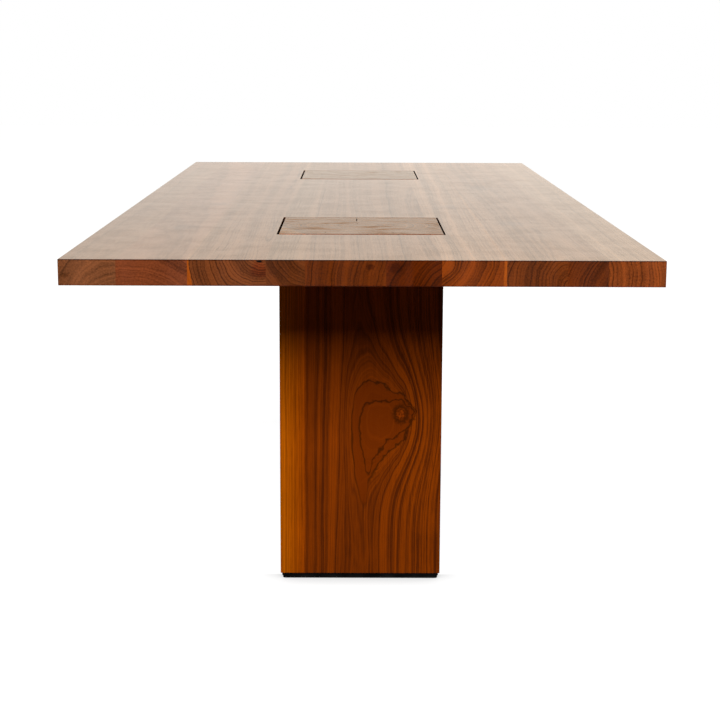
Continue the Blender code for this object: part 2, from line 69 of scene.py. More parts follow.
MM = 0.001
print("frame:", len(nodes), "nodes,", [round(side, 3) for side in cad_high - cad_low], "m")

# %% [markdown]
# Small tools
#
# Every finish here is a tree of shader nodes. One function adds a node of any kind, with its
# settings and with what feeds its sockets, so that a tree reads like a recipe. Another turns a
# colour as it is written for a screen into the linear values that Blender's shaders work with.
# The floor and the room answer each kind of ray in its own way, so one tells the kinds apart.
# Settings that come back often have names: a smooth step, a mix of two colours, a colour that
# tints another, and a range that falls from one to nothing.

# %% Make the tools
SMOOTH = {"interpolation_type": "SMOOTHSTEP"}
COLOUR = {"data_type": "RGBA"}
TINT = {"data_type": "RGBA", "blend_type": "MULTIPLY"}
FALLING = {"To Min": 1.0, "To Max": 0.0}


def add(tree, kind, inputs=None, **settings):
    """Adds one shader node. An input is a value, a socket, or a node whose first socket feeds it."""
    node = tree.nodes.new("ShaderNode" + kind)
    for setting, value in settings.items():
        setattr(node, setting, value)
    for key, value in (inputs or {}).items():
        named = [socket for socket in node.inputs if socket.enabled and socket.name == key]
        socket = node.inputs[key] if isinstance(key, int) else named[0]
        if isinstance(value, bpy.types.Node):
            value = [output for output in value.outputs if output.enabled][0]
        if isinstance(value, bpy.types.NodeSocket):
            tree.links.new(value, socket)
        else:
            socket.default_value = value
    return node


def linear(hex_colour, gain=(1.0, 1.0, 1.0)):
    """An sRGB colour such as #7a492c as linear red, green, blue and alpha, times a gain."""
    parts = [int(hex_colour[place:place + 2], 16) / 255 for place in (1, 3, 5)]
    lit = [part / 12.92 if part <= 0.04045 else ((part + 0.055) / 1.055) ** 2.4 for part in parts]
    return (*[value * share for value, share in zip(lit, gain)], 1.0)


def start_material(name):
    """A new material and its tree, emptied of nodes and ready for a finish."""
    material = bpy.data.materials.new(name)
    material.use_nodes = True
    material.node_tree.nodes.clear()
    return material, material.node_tree


def is_ray(tree, *kinds):
    """1 for a ray of one of these kinds and 0 for any other."""
    path = add(tree, "LightPath")
    found = 0.0
    for kind in kinds:
        found = add(tree, "Math", {0: path.outputs[f"Is {kind} Ray"], 1: found}, operation="ADD",
                    use_clamp=True)
    return found


def show(name, data):
    """A new object of this data, linked into the scene."""
    piece = bpy.data.objects.new(name, data)
    bpy.context.scene.collection.objects.link(piece)
    return piece


def dress(piece, finish):
    """Gives a piece this finish and no other."""
    piece.data.materials.clear()
    piece.data.materials.append(finish)


print("a mid walnut brown in linear values:", [round(value, 3) for value in linear("#7a492c")])

# %% [markdown]
# The camera
#
# The portrait is taken from the end of the table, a little above the top, so that the top is
# seen at a very shallow angle. A camera in Blender looks down its own -Z axis with +Y up. Turning
# it a quarter turn about X makes it look along the table. Three small angles then aim it: the
# pitch down, the yaw to the side and the roll of a camera that isn't quite level.

# %% Place the camera
CAMERA_PLACE = Vector((-0.0143, -4.2125, 1.1115))
CAMERA_YAW = 0.00369
CAMERA_PITCH = 0.18823
CAMERA_ROLL = -0.00388
FOCAL_LENGTH_MM = 81.26
SENSOR_MM = 36.0

camera_data = bpy.data.cameras.new("portrait_camera")
camera_data.lens = FOCAL_LENGTH_MM
camera_data.sensor_width = SENSOR_MM
camera = show("portrait_camera", camera_data)
aim = Matrix.Rotation(-CAMERA_YAW, 4, "Z") @ Matrix.Rotation(math.pi / 2 - CAMERA_PITCH, 4, "X")
camera.matrix_world = Matrix.Translation(CAMERA_PLACE) @ aim @ Matrix.Rotation(-CAMERA_ROLL, 4, "Z")
bpy.context.scene.camera = camera
bpy.context.scene.view_settings.view_transform = "Standard"
print("camera: sees", round(math.degrees(2 * math.atan(SENSOR_MM / 2 / FOCAL_LENGTH_MM)), 1), "degrees")

# %% [markdown]
# The studio floor and the white sweep behind it
#
# The table stands on a white paper sweep that is lit until it is pure white, and only the foot of
# the pedestal leaves a soft shadow on it. So the floor shows itself as white to the camera and to
# reflections, with a small share of real shading that keeps the shadow. To other light it is a
# plain matt floor that sends back only a little, as the dark of the pedestal just under the top
# shows. An Ambient Occlusion node adds the tight shadow where the pad meets the floor, along the
# front of the pedestal, the only side where the portrait has it.

# %% Build the floor
FLOOR_SIZE = 40.0
FLOOR_GLOW = 0.965
FLOOR_SHADED_SHARE = 0.16
FLOOR_BOUNCE = 0.08
CONTACT_REACH = 75 * MM
CONTACT_FULL = 0.4
CONTACT_GLOW_SHARE = 0.68
CONTACT_DEPTH = 30 * MM
SWEEP_START, SWEEP_END = 1.6, 3.2
PAD_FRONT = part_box("foot_pad_near")[0].y


def floor_finish():
    """White paper that glows for the camera and for reflections, and is matt for other light."""
    material, tree = start_material("white_paper_sweep")
    seen = is_ray(tree, "Camera", "Glossy", "Transmission")
    contact = add(tree, "AmbientOcclusion", {"Distance": CONTACT_REACH}, samples=16)
    place = add(tree, "TexCoord").outputs["Object"]
    away = add(tree, "VectorMath", {0: place}, operation="LENGTH").outputs["Value"]
    open_glow = add(tree, "MapRange", {"Value": away, "From Min": SWEEP_START, "From Max": SWEEP_END,
                                       "To Min": FLOOR_GLOW, "To Max": 1.0})
    share = add(tree, "MapRange", {"Value": contact.outputs["AO"], "From Min": CONTACT_FULL,
                                   "To Min": CONTACT_GLOW_SHARE})
    depth = add(tree, "SeparateXYZ", {0: place}).outputs["Y"]
    behind = add(tree, "MapRange", {"Value": depth, "From Min": PAD_FRONT,
                                    "From Max": PAD_FRONT + CONTACT_DEPTH})
    share = add(tree, "Math", {0: behind, 1: share}, operation="MAXIMUM")
    glow = add(tree, "Math", {0: open_glow, 1: share}, operation="MULTIPLY")
    paper = add(tree, "BsdfDiffuse", {"Color": (FLOOR_SHADED_SHARE,) * 3 + (1.0,)})
    light = add(tree, "Emission", {"Strength": glow})
    shown = add(tree, "AddShader", {0: paper, 1: light})
    bounce = add(tree, "BsdfDiffuse", {"Color": (FLOOR_BOUNCE,) * 3 + (1.0,)})
    both = add(tree, "MixShader", {0: seen, 1: bounce, 2: shown})
    add(tree, "OutputMaterial", {"Surface": both})
    return material


floor_mesh = bpy.data.meshes.new("studio_floor")
half = FLOOR_SIZE / 2
corners = [(-half, -half, 0), (half, -half, 0), (half, half, 0), (-half, half, 0)]
floor_mesh.from_pydata(corners, [], [(0, 1, 2, 3)])
floor = show("studio_floor", floor_mesh)
dress(floor, floor_finish())
floor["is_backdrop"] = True
print("floor:", FLOOR_SIZE, "m square")

# %% [markdown]
# The light
#
# The pedestal is dark just under the top and fully lit from half its height down. The edge of the
# top casts that shadow, so the main light stands in front of the table, and the height at which
# the shadow starts and ends gives the softbox's own height: it fills the sky from about 21 to 42
# degrees above the pedestal. Weaker softboxes at the sides and behind light the other faces.
# A lamp's power is worked out from its distance, so that a white card facing it shows as white.
# The front and rear softboxes aren't mirrored in the oiled wood, where they would lay a white
# patch over half the top for anyone who looks from the other end.

# %% Hang the softboxes
def softbox(name, place, aim_at, size, level):
    """A rectangular area lamp that lights a card facing it at aim_at to that level."""
    away = Vector(place) - Vector(aim_at)
    lamp = bpy.data.lights.new(name, "AREA")
    lamp.shape = "RECTANGLE"
    lamp.size, lamp.size_y = size
    lamp.energy = level * math.pi ** 2 * away.length_squared
    holder = show(name, lamp)
    holder.location = place
    holder.rotation_euler = away.to_track_quat("Z", "Y").to_euler()
    holder.visible_camera = False
    return holder


KEY_AIM_HEIGHT = 0.45
KEY_DISTANCE = 3.6
KEY_ELEVATION = math.radians(31.5)
KEY_SPREAD = math.radians(21)
KEY_WIDTH, KEY_LEVEL = 2.4, 1.10
SIDE_AWAY, SIDE_ALONG, SIDE_UP = 3.6, 0.4, 2.8
SIDE_SIZE, SIDE_LEVEL = (1.6, 1.6), 0.28
REAR_PLACE, REAR_SIZE, REAR_LEVEL = (0.0, 3.2, 3.6), (2.4, 1.4), 1.00

front_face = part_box("pedestal_near")[0].y
key_aim = Vector((0.0, front_face, KEY_AIM_HEIGHT))
key_place = key_aim + KEY_DISTANCE * Vector((0.0, -math.cos(KEY_ELEVATION), math.sin(KEY_ELEVATION)))
key_height = 2 * KEY_DISTANCE * math.tan(KEY_SPREAD / 2)
key = softbox("key_softbox", key_place, key_aim, (KEY_WIDTH, key_height), KEY_LEVEL)
table_middle = Vector((0.0, 0.0, cad_high.z))
for name, side in (("left_softbox", -1), ("right_softbox", 1)):
    softbox(name, (side * SIDE_AWAY, SIDE_ALONG, SIDE_UP), table_middle, SIDE_SIZE, SIDE_LEVEL)
rear = softbox("rear_softbox", REAR_PLACE, table_middle, REAR_SIZE, REAR_LEVEL)
key.visible_glossy = rear.visible_glossy = False
print("key softbox:", KEY_WIDTH, "x", round(key_height, 2), "m,", KEY_DISTANCE, "m from the pedestal")

# %% [markdown]
# The room
#
# A world surrounds the scene, and it too answers each kind of ray. The camera sees white. A
# surface that mirrors sees the white sweep behind the table and a darker room behind the camera:
# that is why the top, seen almost edge on, looks pale while the upright faces stay deep and rich.
# The mirrored sweep is a little warm, more so higher up, and a little dimmer at the left. Light
# that the room itself sheds on matt surfaces is weak.

# %% Set the world
ROOM_FILL = 0.05
ROOM_DARK = 0.12
ROOM_LIT = 1.0
SWEEP_STARTS, SWEEP_FULL = -0.2, 0.6
LEFT_SHARE, SIDE_REACH = 0.87, 0.25
SWEEP_LOW, SWEEP_HIGH = (1.0, 0.98, 0.93, 1.0), (1.0, 0.965, 0.865, 1.0)
LOW_HEIGHT, HIGH_HEIGHT = 0.05, 0.15
WHITE = (1.0, 1.0, 1.0, 1.0)

world = bpy.data.worlds.new("studio_room")
bpy.context.scene.world = world
world.use_nodes = True
tree = world.node_tree
tree.nodes.clear()
glossy, seen = is_ray(tree, "Glossy"), is_ray(tree, "Camera", "Transmission")
towards = add(tree, "SeparateXYZ", {0: add(tree, "TexCoord").outputs["Generated"]})
behind = add(tree, "MapRange", {"Value": towards.outputs["Y"], "From Min": SWEEP_STARTS,
                                "From Max": SWEEP_FULL, "To Min": ROOM_DARK, "To Max": ROOM_LIT},
             **SMOOTH)
across = add(tree, "MapRange", {"Value": towards.outputs["X"], "From Min": -SIDE_REACH,
                                "From Max": SIDE_REACH, "To Min": LEFT_SHARE, "To Max": 1.0})
mirrored = add(tree, "Math", {0: behind, 1: across}, operation="MULTIPLY")
level = add(tree, "Mix", {"Factor": glossy, "A": ROOM_FILL, "B": mirrored})
level = add(tree, "Mix", {"Factor": seen, "A": level, "B": ROOM_LIT})
height = add(tree, "MapRange", {"Value": towards.outputs["Z"], "From Min": LOW_HEIGHT,
                                "From Max": HIGH_HEIGHT})
warm = add(tree, "Mix", {"Factor": height, "A": SWEEP_LOW, "B": SWEEP_HIGH}, **COLOUR)
tint = add(tree, "Mix", {"Factor": glossy, "A": WHITE, "B": warm}, **COLOUR)
sky = add(tree, "Background", {"Color": tint, "Strength": level})
add(tree, "OutputWorld", {"Surface": sky})
print("world: fill", ROOM_FILL, "dark side", ROOM_DARK)

# %% [markdown]
# Walnut, and where its figure comes from
#
# A board's figure is a slice through the tree's rings. So the wood here is a solid: each point's
# colour follows from its distance to the pith, the centre of the tree, and every face shows the
# slice that the saw would make. End grain shows arcs, a face parallel to the pith shows stripes,
# and where the pith wanders the stripes close into cathedrals. Object coordinates give a point's
# place in metres, because each piece keeps its place in its mesh.
#
# The first function bends space a little with two noises, a slow one for the tree's sway and a
# quick one for its ripples, both drawn out along the grain, and measures the distance.

# %% Measure the distance from the pith
SWAY_LENGTH = 170 * MM
RIPPLE_LENGTH = 26 * MM
GRAIN_STRETCH = 0.12
EVERY_WAY = Vector((1.0, 1.0, 1.0))
SEED_STEP = Vector((1.7, 2.3, 3.1))


def pith_distance(tree, place, timber):
    """Metres from the tree's pith across the grain, and the spoke that points from it."""
    along = Vector(timber["along"])
    across = EVERY_WAY - along
    drawn = add(tree, "VectorMath", {0: place, 1: across + along * GRAIN_STRETCH}, operation="MULTIPLY")
    drawn = add(tree, "VectorMath", {0: drawn, 1: SEED_STEP * timber["seed"]}, operation="ADD")
    moved = place
    for length, reach in ((SWAY_LENGTH, timber["sway"]), (RIPPLE_LENGTH, timber["ripple"])):
        noise = add(tree, "TexNoise", {"Vector": drawn, "Scale": 1 / length, "Detail": 1.0})
        shift = add(tree, "VectorMath", {0: noise.outputs["Color"], 1: EVERY_WAY * reach,
                                         2: EVERY_WAY * -reach / 2}, operation="MULTIPLY_ADD")
        moved = add(tree, "VectorMath", {0: moved, 1: shift}, operation="ADD")
    height = add(tree, "VectorMath", {0: place, 1: along}, operation="DOT_PRODUCT")
    lean = add(tree, "VectorMath", {0: timber["lean"], "Scale": height}, operation="SCALE")
    pith = add(tree, "VectorMath", {0: timber["pith"], 1: lean}, operation="ADD")
    spoke = add(tree, "VectorMath", {0: moved, 1: pith}, operation="SUBTRACT")
    spoke = add(tree, "VectorMath", {0: spoke, 1: across}, operation="MULTIPLY")
    return add(tree, "VectorMath", {0: spoke}, operation="LENGTH"), spoke


print("sway over", SWAY_LENGTH, "m, ripples over", RIPPLE_LENGTH, "m")

# %% [markdown]
# From distance to rings and pigment
#
# Walnut grows a ring a year, 4 to 9 mm wide here. Each ring ends in a thin dark line, strong in
# some years and hardly there in others. Pigment lies in bands and fine streaks that follow the
# rings without keeping their rhythm, which a noise of many octaves along the radius gives. The
# result is one value, 0 for the darkest wood and 1 for the lightest. Pores are only 0.2 mm wide,
# too fine for the picture, so they are drawn as streaks about 1.2 mm wide. Rays run from the pith
# to the bark and give end grain its faint spokes.

# %% Count the rings
WANDER_LENGTH, WANDER_YEARS = 55 * MM, 3.0
SEED_SHIFT = 0.37
FAINTEST_YEAR = 0.1
LATE_START, LATE_END = 0.45, 0.9
PIGMENT_DARK, PIGMENT_LIGHT = 0.30, 0.70
LINE_LIFT = 0.15
PORE_WIDTH = 1.2 * MM
PORE_LENGTH = 75 * MM
SPECKLE_WIDTH = 3.5 * MM
SPECKLE_LENGTH = 20 * MM
CLOUD_LENGTH = 70 * MM
RAY_SHARE, RAY_FINENESS = 0.10, 70.0


def ring_tone(tree, place, distance, spoke, timber):
    """How light the wood is at each point, with its pores and its ring lines."""
    along = Vector(timber["along"])
    across = EVERY_WAY - along
    shifted = add(tree, "Math", {0: distance, 1: SEED_SHIFT * timber["seed"]}, operation="ADD")
    wander = add(tree, "TexNoise", {"W": shifted, "Scale": 1 / WANDER_LENGTH, "Detail": 1.0},
                 noise_dimensions="1D")
    years = add(tree, "Math", {0: distance, 1: timber["ring"]}, operation="DIVIDE")
    years = add(tree, "Math", {0: wander, 1: WANDER_YEARS, 2: years}, operation="MULTIPLY_ADD")
    season = add(tree, "Math", {0: years}, operation="FRACT")
    year = add(tree, "Math", {0: years}, operation="FLOOR")
    strength = add(tree, "TexWhiteNoise", {"W": year}, noise_dimensions="1D")
    strength = add(tree, "MapRange", {"Value": strength, "From Min": FAINTEST_YEAR,
                                      "To Min": FAINTEST_YEAR})
    late = add(tree, "MapRange", {"Value": season, "From Min": LATE_START, "From Max": LATE_END},
               **SMOOTH)
    spring = add(tree, "MapRange", {"Value": season, "From Min": LATE_END, **FALLING}, **SMOOTH)
    line = add(tree, "Math", {0: late, 1: spring}, operation="MULTIPLY")
    line = add(tree, "Math", {0: line, 1: strength}, operation="MULTIPLY")
    pigment = add(tree, "TexNoise", {"W": shifted, "Scale": 1 / timber["pigment"], "Detail": 5.0,
                                     "Roughness": timber["fineness"]}, noise_dimensions="1D")
    pigment = add(tree, "MapRange", {"Value": pigment, "From Min": PIGMENT_DARK,
                                     "From Max": PIGMENT_LIGHT, "To Min": -0.5, "To Max": 0.5})
    cloud = add(tree, "TexNoise", {"Vector": place, "Scale": 1 / CLOUD_LENGTH, "Detail": 2.5})
    drawn = []
    for width, length in ((PORE_WIDTH, PORE_LENGTH), (SPECKLE_WIDTH, SPECKLE_LENGTH)):
        stretched = add(tree, "VectorMath", {0: place, 1: across / width + along / length},
                        operation="MULTIPLY")
        drawn.append(add(tree, "TexNoise", {"Vector": stretched, "Scale": 1.0, "Detail": 2.0}))
    pores, speckle = drawn
    spokes = add(tree, "VectorMath", {0: spoke}, operation="NORMALIZE")
    rays = add(tree, "TexNoise", {"Vector": spokes, "Scale": RAY_FINENESS, "Detail": 1.0})
    tone = add(tree, "Math", {0: pigment, 1: timber["bands"], 2: 0.5 + LINE_LIFT * timber["lines"]},
               operation="MULTIPLY_ADD")
    tone = add(tree, "Math", {0: line, 1: -timber["lines"], 2: tone}, operation="MULTIPLY_ADD")
    for noise, share in ((pores, timber["pores"]), (speckle, timber["speckle"]),
                         (cloud, timber["clouds"]), (rays, RAY_SHARE)):
        centred = add(tree, "Math", {0: noise, 1: share, 2: -share / 2}, operation="MULTIPLY_ADD")
        tone = add(tree, "Math", {0: tone, 1: centred}, operation="ADD")
    return tone, pores, line, cloud


print("pores drawn", PORE_WIDTH, "m wide and", PORE_LENGTH, "m long")

# %% [markdown]
# A colour that follows the tone
#
# The tone runs from 0 to 1, and a finish names only one mid colour for it. The colour at each end
# is that mid colour times a share for red, green and blue, because walnut's dark lines don't only
# get darker: they change their hue a little too.

# %% Shade a colour by the tone
def shade(tree, colour, tone, contrast, shares):
    """A mid colour, darker or lighter by the tone, which the contrast scales about its middle."""
    scaled = add(tree, "Math", {0: tone, 1: contrast, 2: 0.5 - 0.5 * contrast},
                 operation="MULTIPLY_ADD", use_clamp=True)
    dark, light = [linear(colour, share) for share in shares]
    return add(tree, "Mix", {"Factor": scaled, "A": dark, "B": light}, **COLOUR)


print("each finish shades its colour by the tone")

# %% [markdown]
# The play of the sheen
#
# In a mirror seen almost edge on, the wood's figure shows mostly as a play of its sheen. So the
# specular level drifts with the tone, its clouds and its pores on a face, and in broad streaks on
# an end, whose rings are far too fine to show at such an angle.

# %% Let the sheen play
FACE_SHEEN, END_SHEEN = (0.66, 1.38), (0.15, 2.10)
CLOUD_WEIGHT, PORE_WEIGHT = 1.8, 1.6
DULL_TONE, BRIGHT_TONE = 1.7, 2.7
STREAK_SCALE = (1 / (70 * MM), 1 / (38 * MM), 0.0)
STREAK_DULL, STREAK_BRIGHT, STREAK_FINENESS = 0.35, 0.65, 0.6


def sheen_play(tree, place, tone, pores, cloud, is_end, timber):
    """How much brighter or duller than its mean the sheen is at each point."""
    patchy = add(tree, "Math", {0: cloud, 1: CLOUD_WEIGHT, 2: tone}, operation="MULTIPLY_ADD")
    patchy = add(tree, "Math", {0: pores, 1: PORE_WEIGHT, 2: patchy}, operation="MULTIPLY_ADD")
    patchy = add(tree, "MapRange", {"Value": patchy, "From Min": DULL_TONE, "From Max": BRIGHT_TONE,
                                    "To Min": FACE_SHEEN[0], "To Max": FACE_SHEEN[1]})
    drawn = add(tree, "VectorMath", {0: place, 1: STREAK_SCALE}, operation="MULTIPLY")
    drawn = add(tree, "VectorMath", {0: drawn, 1: (0.0, 0.0, timber["seed"])}, operation="ADD")
    streaks = add(tree, "TexNoise", {"Vector": drawn, "Scale": 1.0, "Detail": 3.0,
                                     "Roughness": STREAK_FINENESS})
    streaks = add(tree, "MapRange", {"Value": streaks, "From Min": STREAK_DULL,
                                     "From Max": STREAK_BRIGHT, "To Min": END_SHEEN[0],
                                     "To Max": END_SHEEN[1]})
    return add(tree, "Mix", {"Factor": is_end, "A": patchy, "B": streaks})


print("sheen on a face", FACE_SHEEN, "and on an end", END_SHEEN)

# %% [markdown]
# Painted shade in the slits, a dull strip on the arris
#
# The slits round the pedestals get painted shade: the wood there is darker and its sheen is duller.
# An Ambient Occlusion node finds them, because it measures how much of its surroundings a point
# can see. The front arris of a pedestal's end is darker and more orange, and has no sheen.

# %% Find the slits and the arris
SLIT_REACH, SLIT_DEEPEST, SLIT_SHARE = 12 * MM, 0.15, 0.12
ARRIS_WIDTH, ARRIS_SHARE = 10 * MM, (0.85, 0.50, 0.22, 1.0)


def painted_slit_shade(tree, timber):
    """1 on open wood, and down to SLIT_SHARE deep in a slit, where shade is painted."""
    sheltered = add(tree, "AmbientOcclusion", {"Distance": SLIT_REACH}, samples=8)
    return add(tree, "MapRange", {"Value": sheltered.outputs["AO"], "From Min": SLIT_DEEPEST,
                                  "From Max": timber["unshaded_from"], "To Min": SLIT_SHARE})


def front_strip_share(tree, place, is_end, front):
    """1 on the darker, duller strip along the front arris of a pedestal's end, and 0 elsewhere."""
    depth = add(tree, "SeparateXYZ", {0: place}).outputs["Y"]
    front_strip = add(tree, "MapRange", {"Value": depth, "From Min": front + ARRIS_WIDTH / 3,
                                  "From Max": front + ARRIS_WIDTH, **FALLING})
    return add(tree, "Math", {0: front_strip, 1: is_end}, operation="MULTIPLY")


print("dust within", SLIT_REACH, "m of other wood, wear over", ARRIS_WIDTH, "m")

# %% [markdown]
# Oiled walnut
#
# The table is finished with hard wax oil: it sinks in, deepens the colour and leaves a satin skin
# that mirrors hardly anything face on, yet a good deal at a glancing angle. Oil has an IOR of
# about 1.45. The weak mirror face on is matched with a low specular level. End grain drinks more
# oil than the faces, so it is darker and redder, and the normal tells the two apart. The ends of
# the staves are rougher than the polished top, and so are the tall sides of the pedestals, which
# were only brushed with oil.

# %% Make a walnut finish
OIL_IOR = 1.45
SMOOTHEST, ROUGHEST = 0.05, 0.12
WEAR_LENGTH, WEAR_SHARE = 160 * MM, 0.04
PORE_DEPTH, RING_RELIEF = 0.05 * MM, -0.4
SIDE_FACING, END_FACING = 0.4, 0.8


def oiled_walnut(name, timber):
    """A walnut finish for one piece of timber."""
    material, tree = start_material(name)
    coordinates = add(tree, "TexCoord")
    place = coordinates.outputs["Object"]
    distance, spoke = pith_distance(tree, place, timber)
    if "swelling" in timber:
        distance = timber["swelling"](tree, place, distance, timber)
    tone, pores, line, cloud = ring_tone(tree, place, distance, spoke, timber)
    facing = add(tree, "VectorMath", {0: coordinates.outputs["Normal"], 1: timber["along"]},
                 operation="DOT_PRODUCT")
    facing = add(tree, "Math", {0: facing}, operation="ABSOLUTE")
    is_end = add(tree, "MapRange", {"Value": facing, "From Min": SIDE_FACING, "From Max": END_FACING})
    sides = zip(("face", "end"), timber["contrast"], timber["shares"])
    face, end = [shade(tree, timber[side], tone, contrast, shares) for side, contrast, shares in sides]
    colour = add(tree, "Mix", {"Factor": is_end, "A": face, "B": end}, **COLOUR)
    for mark in timber["marks"]:
        colour = mark(tree, place, colour, tone, is_end, timber)
    # Painted shade: the Ambient Occlusion share darkens the colour and dulls the sheen in the slits.
    slit_shade = painted_slit_shade(tree, timber)
    colour = add(tree, "Mix", {"Factor": 1.0, "A": colour, "B": slit_shade}, **TINT)
    sheen = sheen_play(tree, place, tone, pores, cloud, is_end, timber)
    sheen = add(tree, "Math", {0: sheen, 1: slit_shade}, operation="MULTIPLY")
    # A darker, more orange strip with no sheen along the front arris of a pedestal's end.
    if "front" in timber:
        front_strip = front_strip_share(tree, place, is_end, timber["front"])
        colour = add(tree, "Mix", {"Factor": front_strip, "A": colour, "B": ARRIS_SHARE}, **TINT)
        bright = add(tree, "Math", {0: 1.0, 1: front_strip}, operation="SUBTRACT")
        sheen = add(tree, "Math", {0: sheen, 1: bright}, operation="MULTIPLY")
    gloss, deep, matt = [add(tree, "MapRange", {"Value": is_end, "To Min": timber[key][0],
                                                "To Max": timber[key][1]})
                         for key in ("gloss", "relief", "matt")]
    gloss = add(tree, "Math", {0: gloss, 1: sheen}, operation="MULTIPLY")
    rough = add(tree, "MapRange", {"Value": pores, "To Min": SMOOTHEST, "To Max": ROUGHEST})
    rough = add(tree, "Math", {0: rough, 1: matt}, operation="ADD")
    wear = add(tree, "TexNoise", {"Vector": place, "Scale": 1 / WEAR_LENGTH, "Detail": 2.0})
    rough = add(tree, "Math", {0: wear, 1: WEAR_SHARE, 2: rough}, operation="MULTIPLY_ADD")
    relief = add(tree, "Math", {0: line, 1: RING_RELIEF, 2: pores}, operation="MULTIPLY_ADD")
    bump = add(tree, "Bump", {"Height": relief, "Strength": deep, "Distance": PORE_DEPTH})
    surface = add(tree, "BsdfPrincipled", {"Base Color": colour, "Roughness": rough, "IOR": OIL_IOR,
                                           "Specular IOR Level": gloss, "Normal": bump})
    add(tree, "OutputMaterial", {"Surface": surface})
    return material


print("oil: IOR", OIL_IOR, "roughness", SMOOTHEST, "to", ROUGHEST)

# %% [markdown]
# Marks in the wood
#
# Two kinds of mark are laid over the rings. A stain darkens a soft, ragged patch that follows the
# grain: a smoky cloud in the heartwood, a bruise, painted shade along the near arrises of the top,
# or the small hole that the pith leaves in the end of a board, painted near black as its shade.
# Sapwood is the outermost wood of the tree, pale and golden. It starts past a plane that lies at a
# slant in the timber, and the heartwood just before it is the darkest.

# %% Paint stains
STAIN_RAGGED, RAGGED_WEIGHT, GRAIN_WEIGHT = 14 * MM, 0.9, 0.4
STAIN_FULL, STAIN_GONE = 1.0, 1.7


def patch_distance(tree, place, middle, half_sizes):
    """How far from a patch's middle a point lies, where 1 is as far as the half sizes reach."""
    away = add(tree, "VectorMath", {0: place, 1: middle}, operation="SUBTRACT")
    away = add(tree, "VectorMath", {0: away, 1: half_sizes}, operation="DIVIDE")
    return add(tree, "VectorMath", {0: away}, operation="LENGTH")


def stains(tree, place, colour, tone, is_end, timber):
    """Multiplies soft patches by a colour; each has a middle, half sizes and that colour."""
    ragged = add(tree, "TexNoise", {"Vector": place, "Scale": 1 / STAIN_RAGGED, "Detail": 2.0})
    for middle, half_sizes, share in timber["stains"]:
        away = patch_distance(tree, place, middle, half_sizes)
        away = add(tree, "Math", {0: ragged, 1: RAGGED_WEIGHT, 2: away}, operation="MULTIPLY_ADD")
        away = add(tree, "Math", {0: tone, 1: GRAIN_WEIGHT, 2: away}, operation="MULTIPLY_ADD")
        away = add(tree, "Math", {0: away, 1: GRAIN_WEIGHT / 2}, operation="SUBTRACT")
        level = add(tree, "MapRange", {"Value": away, "From Min": STAIN_FULL, "From Max": STAIN_GONE,
                                       **FALLING}, **SMOOTH)
        colour = add(tree, "Mix", {"Factor": level, "A": colour, "B": (*share, 1.0)}, **TINT)
    return colour


print("stains are ragged over", STAIN_RAGGED, "m")

# %% Paint sapwood
SAP_WAVE_LENGTH, SAP_WAVE_STRETCH = 33 * MM, 0.1
SAP_SHADOW_WIDTH = 45 * MM
SAP_FRESH_SHARE = (1.16, 1.48, 1.30)


def sapwood(tree, place, colour, tone, is_end, timber):
    """Golden sapwood past its plane, and darker heartwood just before it."""
    sap = timber["sap"]
    drawn = EVERY_WAY - Vector(timber["along"]) * (1.0 - SAP_WAVE_STRETCH)
    drawn = add(tree, "VectorMath", {0: place, 1: drawn / SAP_WAVE_LENGTH}, operation="MULTIPLY")
    wave = add(tree, "TexNoise", {"Vector": drawn, "Scale": 1.0, "Detail": 1.0})
    out = add(tree, "VectorMath", {0: place, 1: sap["start"]}, operation="SUBTRACT")
    out = add(tree, "VectorMath", {0: out, 1: sap["toward"]}, operation="DOT_PRODUCT")
    for noise in (wave, tone):
        out = add(tree, "Math", {0: noise, 1: sap["wave"], 2: out}, operation="MULTIPLY_ADD")
    out = add(tree, "Math", {0: out, 1: sap["wave"]}, operation="SUBTRACT")
    is_sap = add(tree, "MapRange", {"Value": out, "From Min": -sap["soft"], "From Max": sap["soft"]})
    near_sap = add(tree, "MapRange", {"Value": out, "From Min": -SAP_SHADOW_WIDTH, "From Max": 0.0},
                   **SMOOTH)
    heart = add(tree, "Mix", {"Factor": near_sap, "A": colour, "B": (sap["shadow"],) * 3 + (1.0,)},
                **TINT)
    golden, pale = [shade(tree, sap[side], tone, sap["contrast"], shares)
                    for side, shares in zip(("face", "end"), timber["shares"])]
    fresh = add(tree, "MapRange", {"Value": out, "From Max": SAP_SHADOW_WIDTH})
    golden = add(tree, "Mix", {"Factor": fresh, "A": golden, "B": (*SAP_FRESH_SHARE, 1.0)}, **TINT)
    golden = add(tree, "Mix", {"Factor": is_end, "A": golden, "B": pale}, **COLOUR)
    return add(tree, "Mix", {"Factor": is_sap, "A": heart, "B": golden}, **COLOUR)


print("sapwood is freshest", SAP_SHADOW_WIDTH, "m past its plane")

# %% [markdown]
# Ten staves from ten different trees
#
# Each stave was sawn from its own place in its own tree, and its end grain says where: arcs that
# close to the right come from a pith that lies to the right. For each stave, the pith is given
# from the stave's left edge and from the underside of the top, with the width of a ring in
# millimetres and how strong the lines and bands are. Two colours give the face and the end. Each
# pith also leans a little against its stave, by an angle of its own.

